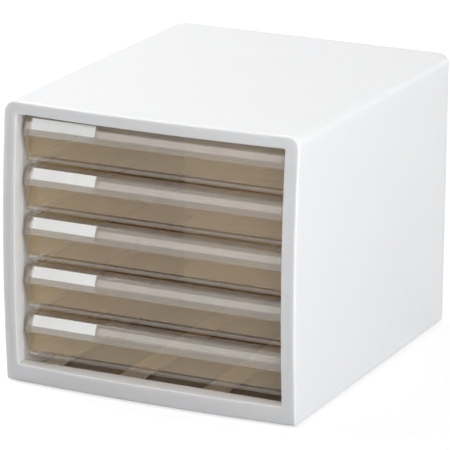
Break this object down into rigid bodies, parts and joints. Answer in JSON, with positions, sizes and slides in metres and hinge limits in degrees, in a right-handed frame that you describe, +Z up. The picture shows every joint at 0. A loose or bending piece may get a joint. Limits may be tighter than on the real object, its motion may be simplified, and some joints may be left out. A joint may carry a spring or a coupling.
{
  "type": "plastic drawer tower",
  "caption": "Desk-top drawer tower in white plastic with clear smoky trays that slide out, each with a rolled pull lip and a label pocket, behind a softly bowed frame.",
  "frame": {"origin": "centre of the box that holds the whole tower, at its foot, with every drawer shut", "axes": "+X to the right as seen from the front, +Y to the back, +Z up; the drawers pull out towards -Y"},
  "size_m": [0.27, 0.3279, 0.247],
  "materials": {
    "casing_white": "fine satin",
    "runner_white": "satin",
    "smoke_clear": "clear, smoky brown, polished",
    "window_clear": "clear, polished",
    "label_paper": "uncoated",
    "foot_rubber": "matte"
  },
  "bodies": {
    "casing": {"casing_shell": "casing_white", "base_grid": "runner_white", "back_cover": "casing_white", "runner_panel_left": "runner_white", "runner_panel_right": "runner_white", "foot_front_left": "foot_rubber", "foot_front_right": "foot_rubber", "foot_rear_left": "foot_rubber", "foot_rear_right": "foot_rubber"},
    "drawer_1": {"drawer_1": "smoke_clear", "label_window_1": "window_clear", "label_card_1": "label_paper"},
    "drawer_2": {"drawer_2": "smoke_clear", "label_window_2": "window_clear", "label_card_2": "label_paper"},
    "drawer_3": {"drawer_3": "smoke_clear", "label_window_3": "window_clear", "label_card_3": "label_paper"},
    "drawer_4": {"drawer_4": "smoke_clear", "label_window_4": "window_clear", "label_card_4": "label_paper"},
    "drawer_5": {"drawer_5": "smoke_clear", "label_window_5": "window_clear", "label_card_5": "label_paper"}
  },
  "joints": [
    {"name": "drawer_1_slide", "type": "slide", "parent": "casing", "child": "drawer_1", "axis": [0, -1, 0], "range_m": [0, 0.235]},
    {"name": "drawer_2_slide", "type": "slide", "parent": "casing", "child": "drawer_2", "axis": [0, -1, 0], "range_m": [0, 0.235]},
    {"name": "drawer_3_slide", "type": "slide", "parent": "casing", "child": "drawer_3", "axis": [0, -1, 0], "range_m": [0, 0.235]},
    {"name": "drawer_4_slide", "type": "slide", "parent": "casing", "child": "drawer_4", "axis": [0, -1, 0], "range_m": [0, 0.235]},
    {"name": "drawer_5_slide", "type": "slide", "parent": "casing", "child": "drawer_5", "axis": [0, -1, 0], "range_m": [0, 0.235]}
  ]
}
